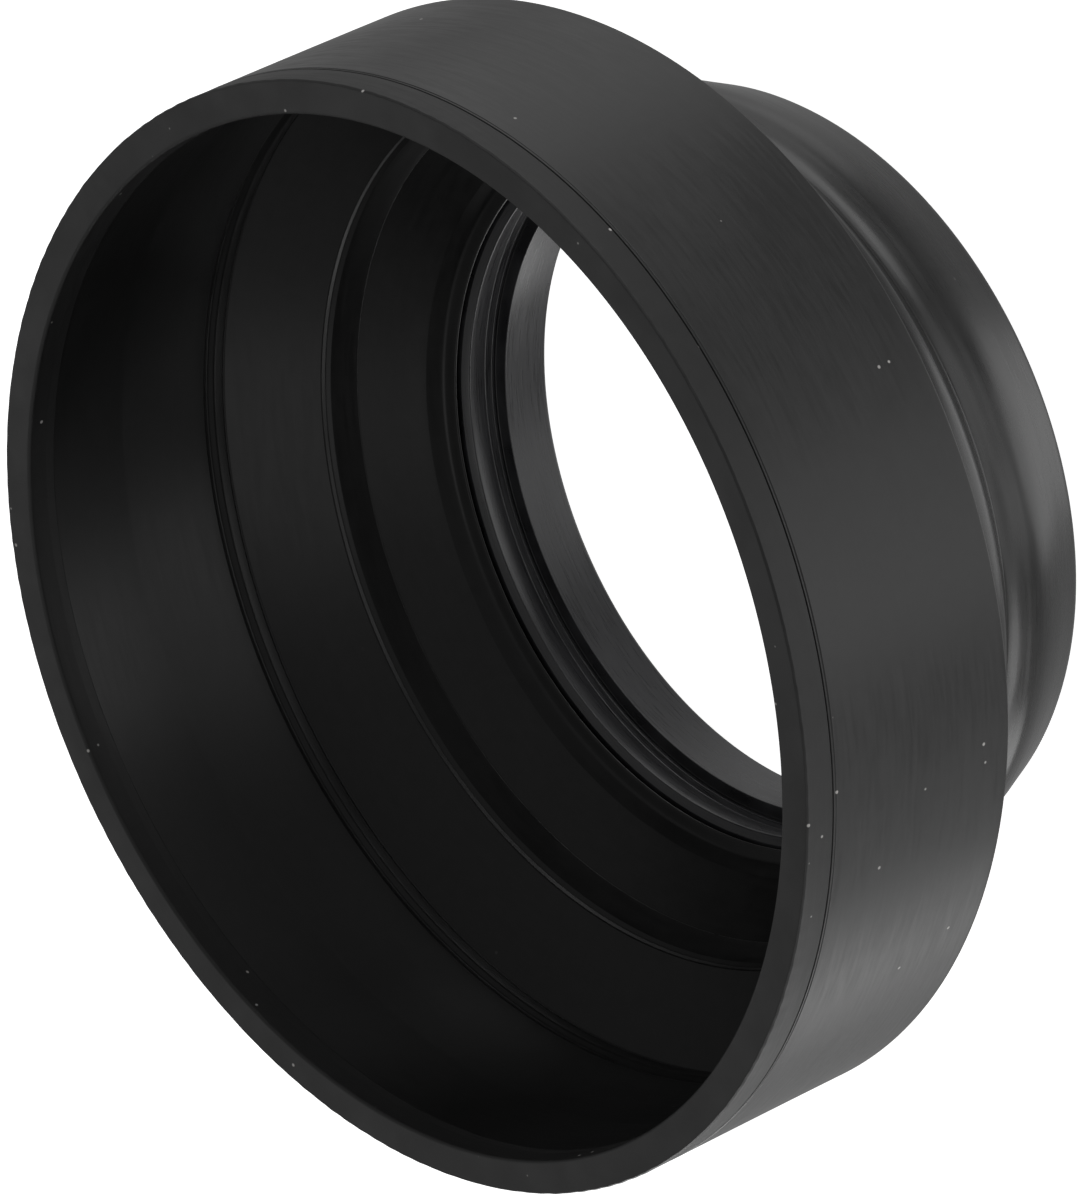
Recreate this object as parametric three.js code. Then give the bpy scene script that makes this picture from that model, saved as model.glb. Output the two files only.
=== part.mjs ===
// Collapsible rubber lens hood on a threaded metal mount ring. Millimetres.
// +Z is the optical axis, from the lens (Z = 0, end of the mount thread) towards the subject.
import * as THREE from "three";

const SEGMENTS = 64;

// Male mount thread, M52 x 0.75
const THREAD_R = 26;
const THREAD_ROOT_R = 25.55;
const PITCH = 0.75;
const TURNS = 3;

// Mount ring
const BORE_R = 24.7;
const SHOULDER_Z = 2.3;
const FLANGE_R = 26.9;
const CHANNEL_R = 26.3;
const CHANNEL_LOW_Z = 2.9;
const CHANNEL_TOP_Z = 3.8;
const STEP_Z = 4.1;
const RECESS_R = 26.05;
const RECESS_MOUTH_R = 25.5;
const RING_FACE_Z = 7.4;

// Rubber hood
const BARREL_R = 39.75;
const BARREL_BORE_R = 38.35;
const BARREL_REAR_Z = 19.5;
const LIP_BORE_R = 37.3;
const LIP_REAR_Z = 36;
const FRONT_Z = 38.5;
const BORE_CREASE_Z = 28.6;
const CUFF_REAR_Z = 0.55;
const CUFF_CREST_R = 30.05;
const CUFF_CREST_Z = 6.7;
const FOLD_WALL = 0.9;
const RIB_WALL = 1.5;
const STUB = 0.5;
const GAP = 0.3;

// A flat seat starts this far clear of the thread crests beside it
const CLEAR = 0.1;

// Middle line of the rubber wall at its four fold lines, front to rear
const FRONT_FOLD = new THREE.Vector2(38.55, 18.45);
const RIB_FRONT = new THREE.Vector2(32.7, 14.5);
const RIB_REAR = new THREE.Vector2(31.7, 12.1);
const REAR_FOLD = new THREE.Vector2(29.1, 9.5);

const rubber = new THREE.MeshStandardMaterial({ color: 0x1b1b1c, roughness: 0.6, metalness: 0 });
const innerRubber = new THREE.MeshStandardMaterial({ color: 0x171718, roughness: 0.7, metalness: 0 });
const anodised = new THREE.MeshStandardMaterial({ color: 0x2a2a2c, roughness: 0.4, metalness: 0.8 });

/** A closed ring turned about Z. The outline is [radius, height] pairs, up the outside and down the inside. */
function ring(name, material, outline) {
  const points = outline.map((p) => (p.isVector2 ? p.clone() : new THREE.Vector2(p[0], p[1])));
  points.push(points[0].clone());
  const geometry = new THREE.LatheGeometry(points, SEGMENTS);
  geometry.rotateX(Math.PI / 2);
  const mesh = new THREE.Mesh(geometry, material.clone());
  mesh.name = name;
  return mesh;
}

/** The point a distance along the line from a to b. */
function along(a, b, distance) {
  return a.clone().add(b.clone().sub(a).setLength(distance));
}

/** The same point moved square to the line from a to b: positive is the lens side. */
function aside(point, a, b, distance) {
  const step = b.clone().sub(a).setLength(distance);
  return new THREE.Vector2(point.x - step.y, point.y + step.x);
}

/** Roots and crests of the male thread, as plain ridges half a pitch apart. */
function maleThread() {
  const points = [];
  for (let i = 0; i <= 2 * TURNS; i += 1) {
    points.push([i % 2 === 0 ? THREAD_ROOT_R : THREAD_R, 0.05 + (i * PITCH) / 2]);
  }
  return points;
}

function mountRing() {
  return ring("mount_ring", anodised, [
    [BORE_R + GAP, 0],
    ...maleThread(),
    [THREAD_R + CLEAR, SHOULDER_Z],
    [FLANGE_R, SHOULDER_Z],
    [FLANGE_R, CHANNEL_LOW_Z],
    [CHANNEL_R, CHANNEL_LOW_Z],
    [CHANNEL_R, CHANNEL_TOP_Z],
    [FLANGE_R, CHANNEL_TOP_Z],
    [FLANGE_R, RING_FACE_Z],
    [RECESS_R, RING_FACE_Z],
    [RECESS_MOUTH_R, RING_FACE_Z - 0.3],
    [RECESS_R, STEP_Z + 0.75],
    [RECESS_MOUTH_R + 0.2, STEP_Z + 0.35],
    [RECESS_MOUTH_R + 0.2, STEP_Z],
    [BORE_R + 0.1, STEP_Z],
    [BORE_R, STEP_Z - 0.1],
    [BORE_R, GAP],
  ]);
}

function rearCuff() {
  const wallR = FLANGE_R + GAP;
  const end = along(REAR_FOLD, RIB_REAR, STUB);
  return ring("rear_cuff", rubber, [
    [wallR, CUFF_REAR_Z],
    [wallR + 0.45, CUFF_REAR_Z],
    [wallR + 1, CUFF_REAR_Z + 1.1],
    [wallR + 1.8, CUFF_REAR_Z + 2.85],
    [CUFF_CREST_R - 0.3, CUFF_CREST_Z - 1.6],
    [CUFF_CREST_R, CUFF_CREST_Z],
    [CUFF_CREST_R - 0.1, CUFF_CREST_Z + 1.2],
    aside(REAR_FOLD, RIB_REAR, REAR_FOLD, FOLD_WALL / 2),
    aside(end, RIB_REAR, REAR_FOLD, FOLD_WALL / 2),
    aside(end, RIB_REAR, REAR_FOLD, -FOLD_WALL / 2),
    aside(REAR_FOLD, RIB_REAR, REAR_FOLD, -FOLD_WALL / 2),
    [wallR + 0.5, RING_FACE_Z + 1.35],
    [wallR - 0.1, RING_FACE_Z + 0.75],
    [THREAD_R + 0.2, RING_FACE_Z + GAP],
    [wallR, RING_FACE_Z + GAP],
    [wallR, CHANNEL_TOP_Z - GAP],
    [CHANNEL_R + GAP, CHANNEL_TOP_Z - GAP],
    [CHANNEL_R + GAP, CHANNEL_LOW_Z + GAP],
    [wallR, CHANNEL_LOW_Z + GAP],
  ]);
}

/** A thin cone between two fold lines, stopping short of the stubs at both ends. */
function foldWeb(name, outer, inner) {
  const from = along(outer, inner, STUB + GAP);
  const to = along(inner, outer, STUB + GAP);
  return ring(name, innerRubber, [
    aside(to, outer, inner, FOLD_WALL / 2),
    aside(from, outer, inner, FOLD_WALL / 2),
    aside(from, outer, inner, -FOLD_WALL / 2),
    aside(to, outer, inner, -FOLD_WALL / 2),
  ]);
}

/** The rib between the two webs: level with them inside, thicker outside. */
function middleRib() {
  const front = along(RIB_FRONT, FRONT_FOLD, STUB);
  const rear = along(RIB_REAR, REAR_FOLD, STUB);
  const outside = RIB_WALL - FOLD_WALL / 2;
  return ring("middle_rib", innerRubber, [
    aside(rear, RIB_REAR, REAR_FOLD, FOLD_WALL / 2),
    aside(RIB_REAR, RIB_FRONT, REAR_FOLD, outside),
    aside(RIB_FRONT, FRONT_FOLD, RIB_REAR, outside),
    aside(front, FRONT_FOLD, RIB_FRONT, FOLD_WALL / 2),
    aside(front, FRONT_FOLD, RIB_FRONT, -FOLD_WALL / 2),
    aside(RIB_FRONT, FRONT_FOLD, RIB_REAR, -FOLD_WALL / 2),
    aside(RIB_REAR, RIB_FRONT, REAR_FOLD, -FOLD_WALL / 2),
    aside(rear, RIB_REAR, REAR_FOLD, -FOLD_WALL / 2),
  ]);
}

function frontBarrel() {
  const end = along(FRONT_FOLD, RIB_FRONT, STUB);
  const hingeR = BARREL_BORE_R + 0.3;
  const beadR = BARREL_BORE_R - 0.1;
  return ring("front_barrel", rubber, [
    [BARREL_R, BARREL_REAR_Z],
    [BARREL_R, LIP_REAR_Z - GAP],
    [LIP_BORE_R + 0.15, LIP_REAR_Z - GAP],
    [BARREL_BORE_R, BORE_CREASE_Z],
    [BARREL_BORE_R, BARREL_REAR_Z + 1.35],
    [hingeR, BARREL_REAR_Z + 1.15],
    [hingeR, BARREL_REAR_Z + 0.85],
    [beadR, BARREL_REAR_Z + 0.65],
    aside(FRONT_FOLD, FRONT_FOLD, RIB_FRONT, -FOLD_WALL / 2),
    aside(end, FRONT_FOLD, RIB_FRONT, -FOLD_WALL / 2),
    aside(end, FRONT_FOLD, RIB_FRONT, FOLD_WALL / 2),
    aside(FRONT_FOLD, FRONT_FOLD, RIB_FRONT, FOLD_WALL / 2),
  ]);
}

function frontLip() {
  const edge = 0.25;
  return ring("front_lip", rubber, [
    [LIP_BORE_R + 0.1, LIP_REAR_Z],
    [BARREL_R, LIP_REAR_Z],
    [BARREL_R, FRONT_Z - edge],
    [BARREL_R - edge, FRONT_Z],
    [LIP_BORE_R + edge, FRONT_Z],
    [LIP_BORE_R, FRONT_Z - edge],
    [LIP_BORE_R, LIP_REAR_Z + 1.1],
  ]);
}

const hood = new THREE.Group();
hood.name = "lens_hood";
hood.add(
  mountRing(),
  rearCuff(),
  foldWeb("rear_fold_web", RIB_REAR, REAR_FOLD),
  middleRib(),
  foldWeb("front_fold_web", FRONT_FOLD, RIB_FRONT),
  frontBarrel(),
  frontLip(),
);

export default hood;
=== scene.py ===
"""Collapsible rubber lens hood on a threaded metal ring, standing on its mount thread, front up.

Lengths are written in millimetres and turned into metres where a mesh or an object is made.
Every piece of the hood is turned about Z, so each is a closed outline swept round the axis.
"""
import math

import bpy
import numpy as np
from mathutils import Matrix, Vector


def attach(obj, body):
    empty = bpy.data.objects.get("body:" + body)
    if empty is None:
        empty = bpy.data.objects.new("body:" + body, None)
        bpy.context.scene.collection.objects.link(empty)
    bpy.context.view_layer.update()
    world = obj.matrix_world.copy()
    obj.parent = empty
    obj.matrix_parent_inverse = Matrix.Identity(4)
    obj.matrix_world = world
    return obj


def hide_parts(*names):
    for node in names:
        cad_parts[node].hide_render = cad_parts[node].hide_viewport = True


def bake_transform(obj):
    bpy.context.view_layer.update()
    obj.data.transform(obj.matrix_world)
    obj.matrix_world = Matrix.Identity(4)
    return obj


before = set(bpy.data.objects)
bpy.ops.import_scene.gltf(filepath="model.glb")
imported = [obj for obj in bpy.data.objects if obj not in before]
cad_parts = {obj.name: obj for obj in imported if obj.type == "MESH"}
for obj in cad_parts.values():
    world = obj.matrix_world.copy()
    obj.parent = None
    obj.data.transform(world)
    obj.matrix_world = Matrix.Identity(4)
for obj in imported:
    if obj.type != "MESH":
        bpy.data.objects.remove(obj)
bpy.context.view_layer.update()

MM = 0.001

# ---------------------------------------------------------------- sizes, mm
BARREL_R = 39.75
BARREL_REAR_Z = 19.5
BORE_R = 38.35
BORE_CREASE_Z = 28.6
LIP_BORE_R = 37.3
LIP_REAR_Z = 36.08
FRONT_Z = 38.5

# Middle line of the rubber wall at its four fold lines, front to rear, and half its thickness
FRONT_FOLD = Vector((38.55, 18.45))
RIB_FRONT = Vector((32.7, 14.5))
RIB_REAR = Vector((31.7, 12.1))
REAR_FOLD = Vector((29.1, 9.5))
WEB = 0.45

# Outside of the thin hinge where the front web leaves the barrel
FRONT_HINGE = (38.2, 18.35)

# Metal ring and its male thread
THREAD_R = 26.0
THREAD_ROOT_R = 25.55
THREAD_FLAT = 0.05
PITCH = 0.75
TURNS = 3
RING_BORE_R = 24.72
SHOULDER_Z = 2.35
FLANGE_R = 26.85
RING_FACE_Z = 7.12
STEP_R = 25.72
STEP_Z = 4.1

# The cuff's bead fills the ring's channel and clears its bottom a little
CHANNEL_R = 26.3
CHANNEL_LOW_Z = 2.92
CHANNEL_TOP_Z = 3.78
CHANNEL_DRAFT = 0.04
BEAD_R = 26.35
CUFF_BORE_R = 27.15

# ---------------------------------------------------------------- outlines
SEGMENTS = 288
LIP_SEGMENTS = 1152

ARC_STEP_DEG = 12      # a fillet has a point at least this often
STRAIGHT_DEG = 88      # a corner that opens wider than twice this is left as it is
MOST_OF_SIDE = 0.48    # a fillet uses less than half of the sides beside it
SHARP_DEG = 35         # faces that turn by more than this meet in a sharp edge
FALL = 0.01            # a face that goes down by more than this is inside


def rounded(points):
    """Turns [r, z] or [r, z, fillet] corners into a closed outline, with arcs at the filleted ones."""
    out = []
    count = len(points)
    for i, corner in enumerate(points):
        p = Vector(corner[:2])
        fillet = corner[2] if len(corner) > 2 else 0.0
        a = Vector(points[i - 1][:2]) - p
        b = Vector(points[(i + 1) % count][:2]) - p
        if fillet <= 0 or a.length < 1e-6 or b.length < 1e-6:
            out.append(p)
            continue
        half = a.angle(b) / 2
        if half > math.radians(STRAIGHT_DEG):
            out.append(p)
            continue
        reach = min(fillet / math.tan(half), MOST_OF_SIDE * a.length, MOST_OF_SIDE * b.length)
        radius = reach * math.tan(half)
        centre = p + (a.normalized() + b.normalized()).normalized() * (radius / math.sin(half))
        start = p + a.normalized() * reach - centre
        end = p + b.normalized() * reach - centre
        turn = start.angle(end)
        steps = max(2, int(math.ceil(math.degrees(turn) / ARC_STEP_DEG)))
        for k in range(steps + 1):
            t = k / steps
            arm = start * math.sin((1 - t) * turn) + end * math.sin(t * turn)
            out.append(centre + arm / math.sin(turn))
    return out


def refine(outline, longest):
    """Splits the outline's long sides, so that the surface has points to bend and to shade by."""
    out = []
    for i, p in enumerate(outline):
        q = outline[(i + 1) % len(outline)]
        parts = max(1, int(math.ceil((q - p).length / longest)))
        out += [p.lerp(q, k / parts) for k in range(parts)]
    return out


def curve(points, steps=6):
    """A smooth line through the points, for surfaces with no corner in them."""
    p = [Vector(q) for q in points]
    p = [2 * p[0] - p[1], *p, 2 * p[-1] - p[-2]]
    out = []
    for i in range(1, len(p) - 2):
        a, b, c, d = p[i - 1:i + 3]
        for k in range(steps):
            t = k / steps
            out.append(0.5 * (2 * b + (c - a) * t + (2 * a - 5 * b + 4 * c - d) * t ** 2
                              + (3 * b - a - 3 * c + d) * t ** 3))
    return [[*q] for q in out] + [[*p[-2]]]


def aside(point, a, b, distance):
    """The point moved square to the line from a to b; positive is the lens side."""
    step = (b - a).normalized() * distance
    return Vector((point.x - step.y, point.y + step.x))


def web(outer, inner, hinge=None):
    """The outline of a thin cone between two fold lines; hinge takes the place of its outer corner."""
    return [
        aside(inner, outer, inner, WEB),
        aside(outer, outer, inner, WEB) if hinge is None else Vector(hinge),
        aside(outer, outer, inner, -WEB),
        aside(inner, outer, inner, -WEB),
    ]


def lathe(name, outline, material, bend=None, inside=None, segments=SEGMENTS):
    """Sweeps a closed outline, up the outside and down the inside, round Z.

    bend(angles, r, z) is added to the radius. inside is the material of the faces that go down.
    """
    count = len(outline)
    angles = np.arange(segments)[:, None] * 2 * math.pi / segments
    r = np.array([p[0] for p in outline])
    z = np.array([p[1] for p in outline])
    radii = np.repeat(r[None], segments, 0)
    heights = np.repeat(z[None], segments, 0)
    if bend is not None:
        radii = radii + bend(angles, r, z)
    co = np.stack([radii * np.cos(angles), radii * np.sin(angles), heights], -1)
    index = np.arange(segments * count).reshape(segments, count)
    ahead = np.roll(index, -1, 0)
    faces = np.stack([index, ahead, np.roll(ahead, -1, 1), np.roll(index, -1, 1)], -1)
    mesh = bpy.data.meshes.new(name)
    mesh.from_pydata((co.reshape(-1, 3) * MM).tolist(), [], faces.reshape(-1, 4).tolist())
    mesh.materials.append(material)
    if inside is not None:
        mesh.materials.append(inside)
        falling = (np.roll(z, -1) - z < -FALL).astype(np.int32)
        mesh.polygons.foreach_set("material_index", np.tile(falling, segments))
    mesh.shade_smooth()
    mesh.set_sharp_from_angle(angle=math.radians(SHARP_DEG))
    mesh.update()
    piece = bpy.data.objects.new(name, mesh)
    bpy.context.scene.collection.objects.link(piece)
    return piece


# ---------------------------------------------------------------- materials
# Noise scales, per metre, and bump depths, in metres
GRAIN = 900
CLOUD = 60
RINGS, RINGS_SQUEEZE = 260, 14
TURNING, TURNING_SQUEEZE = 300, 40
STAIN = 120
DUST_CELLS = 850
RUBBER_BUMP = 0.00004
METAL_BUMP = 0.00003

DUST = (0.35, 0.34, 0.33)


class Nodes:
    """Short calls for building a node material."""

    def __init__(self, name):
        self.material = bpy.data.materials.new(name)
        self.material.use_nodes = True
        self.tree = self.material.node_tree
        self.shader = self.tree.nodes["Principled BSDF"]
        self.place = self.tree.nodes.new("ShaderNodeTexCoord").outputs["Object"]

    def squeezed(self, factor):
        """Places squeezed along Z, which draws a noise out into marks round the axis."""
        node = self.tree.nodes.new("ShaderNodeMapping")
        node.inputs["Scale"].default_value = (1, 1, factor)
        self.tree.links.new(self.place, node.inputs["Vector"])
        return node.outputs["Vector"]

    def noise(self, vector, scale, detail, roughness):
        node = self.tree.nodes.new("ShaderNodeTexNoise")
        node.inputs["Scale"].default_value = scale
        node.inputs["Detail"].default_value = detail
        node.inputs["Roughness"].default_value = roughness
        self.tree.links.new(vector, node.inputs["Vector"])
        return node.outputs["Fac"]

    def ramp(self, value, low, high, out_low=0.0, out_high=1.0):
        node = self.tree.nodes.new("ShaderNodeMapRange")
        node.interpolation_type = "SMOOTHSTEP"
        node.inputs["From Min"].default_value = low
        node.inputs["From Max"].default_value = high
        node.inputs["To Min"].default_value = out_low
        node.inputs["To Max"].default_value = out_high
        self.tree.links.new(value, node.inputs["Value"])
        return node.outputs["Result"]

    def math(self, operation, a, b):
        node = self.tree.nodes.new("ShaderNodeMath")
        node.operation = operation
        for socket, value in zip(node.inputs, (a, b)):
            if isinstance(value, (int, float)):
                socket.default_value = value
            else:
                self.tree.links.new(value, socket)
        return node.outputs["Value"]

    def weighted(self, *terms):
        """The sum of (value, weight) pairs."""
        total = None
        for value, weight in terms:
            term = self.math("MULTIPLY", value, weight)
            total = term if total is None else self.math("ADD", total, term)
        return total

    def mix(self, factor, a, b):
        node = self.tree.nodes.new("ShaderNodeMix")
        node.data_type = "RGBA"
        self.tree.links.new(factor, node.inputs["Factor"])
        for socket, value in ((node.inputs["A"], a), (node.inputs["B"], b)):
            if isinstance(value, tuple):
                socket.default_value = (*value, 1.0)
            else:
                self.tree.links.new(value, socket)
        return node.outputs["Result"]

    def specks(self, share):
        """One on a small round spot in this share of the cells, and zero elsewhere."""
        cells = self.tree.nodes.new("ShaderNodeTexVoronoi")
        cells.inputs["Scale"].default_value = DUST_CELLS
        self.tree.links.new(self.place, cells.inputs["Vector"])
        parted = self.tree.nodes.new("ShaderNodeSeparateColor")
        self.tree.links.new(cells.outputs["Color"], parted.inputs["Color"])
        spot = self.ramp(cells.outputs["Distance"], 0.07, 0.13, 1.0, 0.0)
        chosen = self.ramp(parted.outputs["Red"], 1 - share, 1 - share + 0.01)
        return self.math("MULTIPLY", spot, chosen)

    def bump(self, height, strength, distance):
        node = self.tree.nodes.new("ShaderNodeBump")
        node.inputs["Strength"].default_value = strength
        node.inputs["Distance"].default_value = distance
        self.tree.links.new(height, node.inputs["Height"])
        self.tree.links.new(node.outputs["Normal"], self.shader.inputs["Normal"])

    def link(self, value, socket):
        self.tree.links.new(value, self.shader.inputs[socket])


def rubber(name, greys, roughness, dust, brushed=0.0, bump=0.15, gloss=0.5):
    """Moulded black rubber: fine mottling, marks brushed round the axis, and specks of pale dust."""
    n = Nodes(name)
    grain = n.noise(n.place, GRAIN, 4, 0.6)
    cloud = n.noise(n.place, CLOUD, 3, 0.5)
    rings = n.noise(n.squeezed(RINGS_SQUEEZE), RINGS, 3, 0.6)
    speck = n.specks(dust)

    dark, light = ((grey, grey, grey) for grey in greys)
    tone = n.ramp(n.weighted((grain, 0.35), (cloud, 0.35), (rings, 0.3)), 0.35, 0.65)
    n.link(n.mix(speck, n.mix(tone, dark, light), DUST), "Base Color")

    marks = n.weighted((rings, 0.5 + brushed), (cloud, 0.5))
    rough = n.ramp(marks, 0.3 + brushed * 0.4, 0.7 + brushed * 0.6, *roughness)
    n.link(n.math("MAXIMUM", rough, n.math("MULTIPLY", speck, 0.9)), "Roughness")

    n.shader.inputs["IOR"].default_value = 1.48
    n.shader.inputs["Specular IOR Level"].default_value = gloss
    n.bump(n.weighted((grain, 0.6), (rings, 0.4 + brushed)), bump, RUBBER_BUMP)
    return n.material


def anodised(name):
    """Black-anodised aluminium with fine turning lines."""
    n = Nodes(name)
    lines = n.noise(n.squeezed(TURNING_SQUEEZE), TURNING, 3, 0.6)
    stain = n.noise(n.place, STAIN, 3, 0.5)
    tone = n.ramp(n.weighted((lines, 0.6), (stain, 0.4)), 0.35, 0.65)
    n.link(n.mix(tone, (0.010, 0.010, 0.011), (0.022, 0.022, 0.024)), "Base Color")
    n.link(n.ramp(lines, 0.3, 0.7, 0.26, 0.40), "Roughness")
    n.shader.inputs["IOR"].default_value = 1.5
    n.bump(lines, 0.12, METAL_BUMP)
    return n.material


# One rubber in four copies. Their greys are partly the rubber's own tone and partly painted light and
# shade: the lip is painted darker, the inside and the cuff lighter, and the cuff's grey also carries a
# painted sheen.
BARREL = rubber("barrel_rubber", (0.004, 0.008), (0.32, 0.43), dust=0.07, brushed=0.2)
LIP = rubber("lip_rubber", (0.003, 0.007), (0.46, 0.58), dust=0.12, bump=0.3, gloss=0.42)
INNER = rubber("inner_rubber", (0.006, 0.010), (0.30, 0.38), dust=0.004, gloss=0.26)
CUFF = rubber("cuff_rubber", (0.006, 0.011), (0.24, 0.32), dust=0.006, bump=0.08)
RING = anodised("black_anodised")


# ---------------------------------------------------------------- rubber hood
def out_of_round(angles, r, z):
    """Soft rubber isn't true: the rim's radius wanders within about a millimetre, the folds' by less.

    The three waves are rounded from a scratch program's fit to the rim's outline in the photograph.
    """
    rear = np.clip((z - RIB_FRONT.y) / (FRONT_FOLD.y - RIB_FRONT.y), 0, 1)
    front = np.clip((z - FRONT_FOLD.y) / (FRONT_Z - FRONT_FOLD.y), 0, 1)
    share = 0.5 * rear + 0.5 * front ** 1.2
    wander = (
        -0.48 * np.cos(angles)
        + 0.33 * np.cos(2 * (angles + math.radians(54)))
        + 0.31 * np.cos(3 * (angles + math.radians(58)))
    )
    return wander * share


def trimmed(angles, r, z):
    """Out of round, with the flash cut off a little unevenly round the outer front edge."""
    edge = (r > BARREL_R - 0.2) & (z > FRONT_Z - 0.3)
    nibble = (
        0.008 * np.sin(41 * angles + 1) * np.sin(7 * angles)
        + 0.010 * np.sin(97 * angles + 2) * np.sin(11 * angles + 4)
        + 0.014 * np.sin(173 * angles) * np.sin(5 * angles + 2)
    )
    return out_of_round(angles, r, z) + nibble * edge


front_lip = lathe("front_lip", refine(rounded([
    [LIP_BORE_R + 0.1, LIP_REAR_Z],
    [BARREL_R - 0.01, LIP_REAR_Z, 0.06],
    [BARREL_R, FRONT_Z - 0.16, 0.05],
    [BARREL_R - 0.1, FRONT_Z, 0.05],
    [BARREL_R - 0.3, FRONT_Z, 0.05],
    [LIP_BORE_R, FRONT_Z, 0.25],
    [LIP_BORE_R, FRONT_Z - 1.6, 0.8],
]), 1.0), LIP, trimmed, segments=LIP_SEGMENTS)

# A double groove runs round the barrel behind the lip, and a hinge groove and bead round its bore
front_barrel = lathe("front_barrel", refine(rounded([
    [BARREL_R, BARREL_REAR_Z, 0.25],
    [BARREL_R, BARREL_REAR_Z + 0.5],
    [BARREL_R, LIP_REAR_Z - 0.6],
    [BARREL_R + 0.01, LIP_REAR_Z - 0.34, 0.05],
    [BARREL_R - 0.05, LIP_REAR_Z - 0.26, 0.03],
    [BARREL_R, LIP_REAR_Z - 0.18, 0.03],
    [BARREL_R, LIP_REAR_Z - 0.1, 0.03],
    [BARREL_R - 0.12, LIP_REAR_Z - 0.05],
    [BARREL_R - 0.12, LIP_REAR_Z - 0.02],
    [LIP_BORE_R + 0.1, LIP_REAR_Z - 0.02],
    [BORE_R, BORE_CREASE_Z, 3.0],
    [BORE_R, BARREL_REAR_Z + 1.35, 0.06],
    [BORE_R + 0.25, BARREL_REAR_Z + 0.85, 0.3],
    [BORE_R - 0.1, BARREL_REAR_Z + 0.4, 0.4],
    [BORE_R - 0.1, BARREL_REAR_Z - 0.4, 0.1],
    [BORE_R + 0.04, BARREL_REAR_Z - 0.58, 0.05],
    [*aside(FRONT_FOLD, FRONT_FOLD, RIB_FRONT, -WEB), 0.1],
    FRONT_HINGE,
    [FRONT_HINGE[0] + 0.4, FRONT_HINGE[1] + 0.5, 0.3],
]), 1.0), BARREL, out_of_round, INNER)

front_fold_web = lathe("front_fold_web", refine(web(FRONT_FOLD, RIB_FRONT, FRONT_HINGE), 0.35),
                       INNER, out_of_round)

# The rib runs on smoothly from the rear web outside, and has a small step inside at its front
middle_rib = lathe("middle_rib", refine(rounded([
    *curve([[31.7, 11.46], [32.04, 11.8], [32.38, 12.25], [32.62, 12.95], [32.78, 13.95]]),
    aside(RIB_FRONT, FRONT_FOLD, RIB_FRONT, WEB),
    aside(RIB_FRONT, FRONT_FOLD, RIB_FRONT, -WEB),
    [32.40, 14.80, 0.15],
    [32.38, 14.45, 0.15],
    [32.08, 14.22, 0.15],
    [31.45, 12.85, 0.5],
    [31.20, 12.35, 0.4],
    aside(RIB_REAR, RIB_REAR, REAR_FOLD, -WEB),
]), 0.5), CUFF, inside=INNER)

rear_fold_web = lathe("rear_fold_web", refine(web(RIB_REAR, REAR_FOLD), 0.3), CUFF, inside=INNER)

rear_cuff = lathe("rear_cuff", refine(rounded([
    [27.2, 0.45, 0.1],
    [27.75, 0.45, 0.15],
    *curve([[27.95, 0.75], [28.5, 2.1], [29.15, 3.7], [29.7, 5.3], [29.95, 6.6], [29.9, 7.6],
            [29.83, 8.3], [29.7, 8.9], [29.68, 9.35], [29.95, 9.71]]),
    aside(REAR_FOLD, RIB_REAR, REAR_FOLD, -WEB),
    [27.85, 8.9, 0.3],
    [27.6, 8.5, 0.25],
    [27.15, 7.85, 0.5],
    [26.25, 7.6, 0.1],
    [26.2, 7.45, 0.05],
    [CUFF_BORE_R, 7.3],
    [CUFF_BORE_R, CHANNEL_TOP_Z + CHANNEL_DRAFT],
    [BEAD_R, CHANNEL_TOP_Z],
    [BEAD_R, CHANNEL_LOW_Z],
    [CUFF_BORE_R, CHANNEL_LOW_Z - CHANNEL_DRAFT],
]), 0.6), CUFF, inside=INNER)


# ---------------------------------------------------------------- metal ring
def male_thread():
    """Roots and crests of the mount thread, each with a small flat, from the rear end."""
    out = []
    for i in range(2 * TURNS):
        radius = THREAD_ROOT_R if i % 2 == 0 else THREAD_R
        z = 0.1 + i * PITCH / 2
        out += [[radius, z - THREAD_FLAT], [radius, z + THREAD_FLAT]]
    return out + [[THREAD_ROOT_R, 0.1 + TURNS * PITCH - THREAD_FLAT]]


mount_ring = lathe("mount_ring", rounded([
    [24.95, 0.0, 0.05],
    [25.45, 0.0, 0.05],
    *male_thread(),
    [THREAD_ROOT_R, SHOULDER_Z],
    [FLANGE_R, SHOULDER_Z, 0.12],
    [FLANGE_R, CHANNEL_LOW_Z - CHANNEL_DRAFT, 0.05],
    [CHANNEL_R, CHANNEL_LOW_Z],
    [CHANNEL_R, CHANNEL_TOP_Z],
    [FLANGE_R, CHANNEL_TOP_Z + CHANNEL_DRAFT],
    [FLANGE_R, RING_FACE_Z, 0.1],
    [26.1, RING_FACE_Z, 0.05],
    [25.5, 6.85, 0.15],
    [25.62, 6.3, 1.5],
    [26.0, 4.9, 0.15],
    [STEP_R, 4.5, 0.1],
    [STEP_R, STEP_Z, 0.05],
    [RING_BORE_R, STEP_Z, 0.06],
    [RING_BORE_R, 0.3, 0.1],
]), RING)

for piece, body in ((front_lip, "front"), (front_barrel, "front"), (middle_rib, "middle"),
                    (rear_cuff, "mount"), (mount_ring, "mount")):
    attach(piece, body)
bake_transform(front_fold_web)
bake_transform(rear_fold_web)
for piece in (front_lip, front_barrel, front_fold_web, middle_rib, rear_fold_web, rear_cuff):
    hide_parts(piece.name.split(".")[0])
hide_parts("mount_ring")


# ---------------------------------------------------------------- floor and background
def shining_white(name):
    """White that shines as brightly as the background, so that the floor runs into it."""
    material = bpy.data.materials.new(name)
    material.use_nodes = True
    shader = material.node_tree.nodes["Principled BSDF"]
    shader.inputs["Base Color"].default_value = (0.9, 0.9, 0.9, 1)
    shader.inputs["Roughness"].default_value = 0.9
    shader.inputs["Emission Color"].default_value = (1, 1, 1, 1)
    shader.inputs["Emission Strength"].default_value = 1.0
    return material


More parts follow.
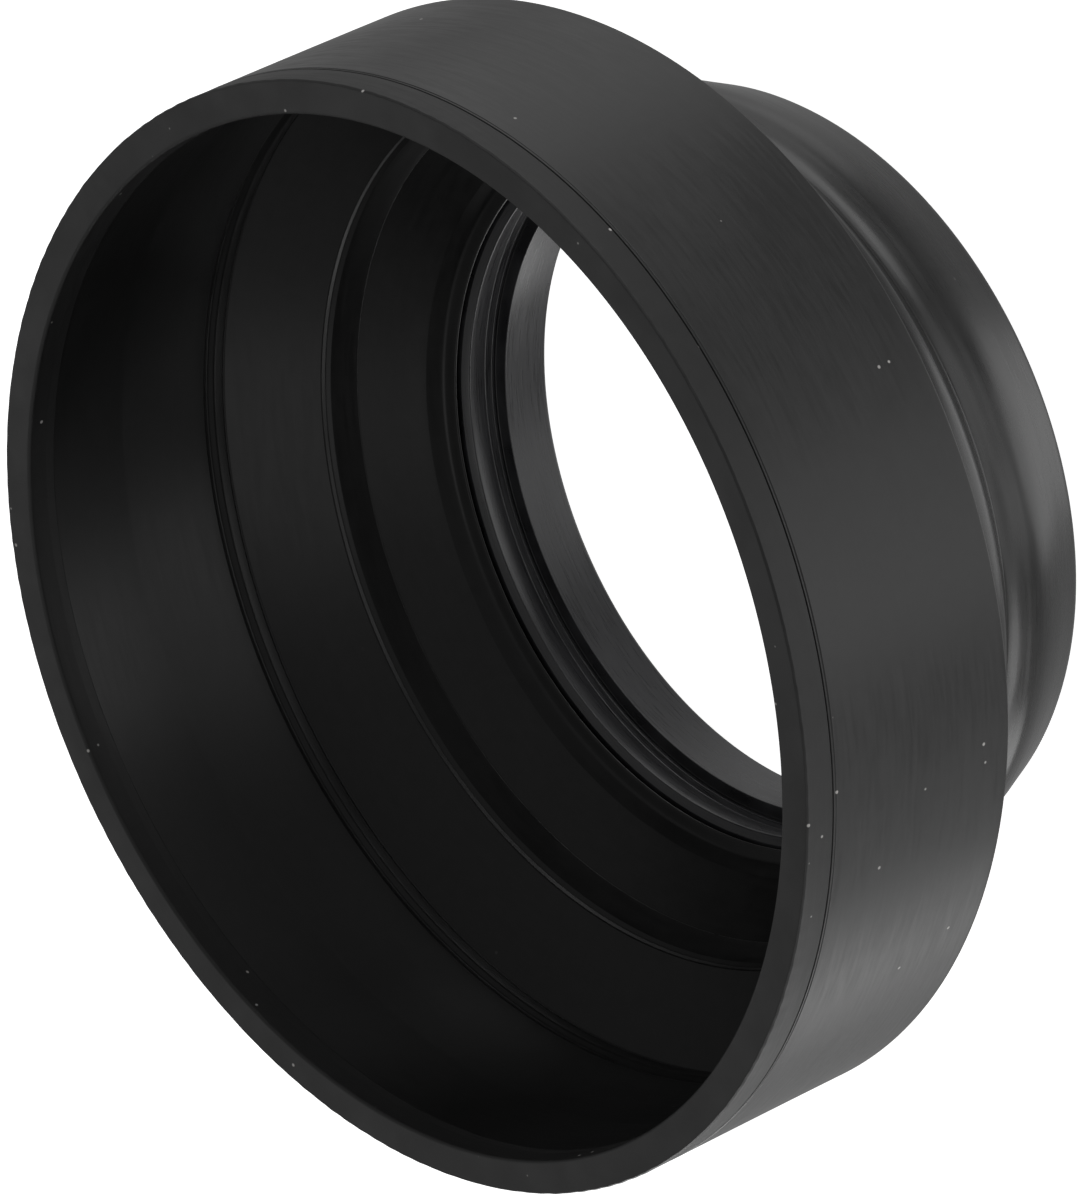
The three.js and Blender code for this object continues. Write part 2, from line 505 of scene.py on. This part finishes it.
# The floor is seen, but it neither lights the hood nor stands in the way of the lights below it
bpy.ops.mesh.primitive_plane_add(size=40, location=(0, 0, 0))
floor = bpy.context.object
floor.name = "floor"
floor.data.materials.append(shining_white("pale_floor"))
floor.visible_diffuse = False
floor.visible_glossy = False
floor.visible_shadow = False

# The background is burnt out to white for the camera, but lights the hood far less
FILL = 0.35
bpy.context.scene.view_settings.view_transform = "Standard"
world = bpy.data.worlds.new("studio")
bpy.context.scene.world = world
world.use_nodes = True
background = world.node_tree.nodes["Background"]
background.inputs["Color"].default_value = (1, 1, 1, 1)
seen = world.node_tree.nodes.new("ShaderNodeLightPath").outputs["Is Camera Ray"]
level = world.node_tree.nodes.new("ShaderNodeMapRange")
level.inputs["To Min"].default_value = FILL
level.inputs["To Max"].default_value = 1.0
world.node_tree.links.new(seen, level.inputs["Value"])
world.node_tree.links.new(level.outputs["Result"], background.inputs["Strength"])

# ---------------------------------------------------------------- camera
# The camera looks down into the front opening, and is turned on its side as in the photograph.
# Its distance and its offset from the middle of the lip are in lip radii. Its numbers are from a
# scratch program's fit of one camera to the photograph's circles.
ROLL_COS, ROLL_SIN = -0.39661, -0.91798
OFFSET_RIGHT, OFFSET_UP, DISTANCE = -0.2477, -0.0583, 20.519

back = Vector((0, -0.78143, 0.62399))
side = Vector((1, 0, 0))
over = back.cross(side)
right = side * ROLL_COS + over * ROLL_SIN
up = over * ROLL_COS - side * ROLL_SIN
aim = Vector((0, 0, FRONT_Z * MM))
offset = (right * OFFSET_RIGHT + up * OFFSET_UP - back * DISTANCE) * (BARREL_R * MM)
camera = bpy.data.objects.new("camera", bpy.data.cameras.new("camera"))
bpy.context.scene.collection.objects.link(camera)
camera.matrix_world = Matrix.Translation(aim - offset) @ Matrix((right, up, back)).transposed().to_4x4()
camera.data.sensor_fit = "VERTICAL"
camera.data.sensor_height = 36
camera.data.lens = 360
camera.data.clip_start = 0.01
camera.data.clip_end = 50
bpy.context.scene.camera = camera

# ---------------------------------------------------------------- lights
# Soft boxes round the hood: the way to each (to the right, up, to the camera), and its watts.
# The first nine rows, and FILL, were not chosen by hand: a scratch program fitted them to the
# photograph's brightness by least squares, and they are rounded here. The last three are listed.
SOFT_BOXES = (
    ((0.70, -0.70, 0.15), 2.8),
    ((0.25, 0.85, 0.50), 2.3),
    ((0.50, -0.75, -0.45), 2.2),
    ((-0.05, 1.00, 0.10), 1.8),
    ((0.75, 0.30, 0.60), 1.1),
    ((-0.35, -0.65, 0.65), 0.8),
    ((0.90, -0.20, 0.40), 0.8),
    ((-0.95, -0.30, -0.15), 0.65),
    ((0.15, 0.85, -0.50), 0.4),
    ((1.00, 0.10, 0.10), 0.6),
    ((0.90, 0.20, -0.40), 1.1),
    ((0.00, -0.75, -0.65), 3.0),
)
BOX_SIZE = 0.62                    # metres across, each one metre from the middle
MIDDLE = Vector((0, 0, 0.02))

for i, (way, watts) in enumerate(SOFT_BOXES):
    lamp = bpy.data.lights.new("soft_box", "AREA")
    lamp.shape = "DISK"
    lamp.size = BOX_SIZE
    lamp.energy = watts
    box = bpy.data.objects.new("soft_box_%d" % i, lamp)
    toward = (right * way[0] + up * way[1] + back * way[2]).normalized()
    box.location = MIDDLE + toward
    box.rotation_euler = toward.to_track_quat("Z", "Y").to_euler()
    box.visible_camera = False
    bpy.context.scene.collection.objects.link(box)
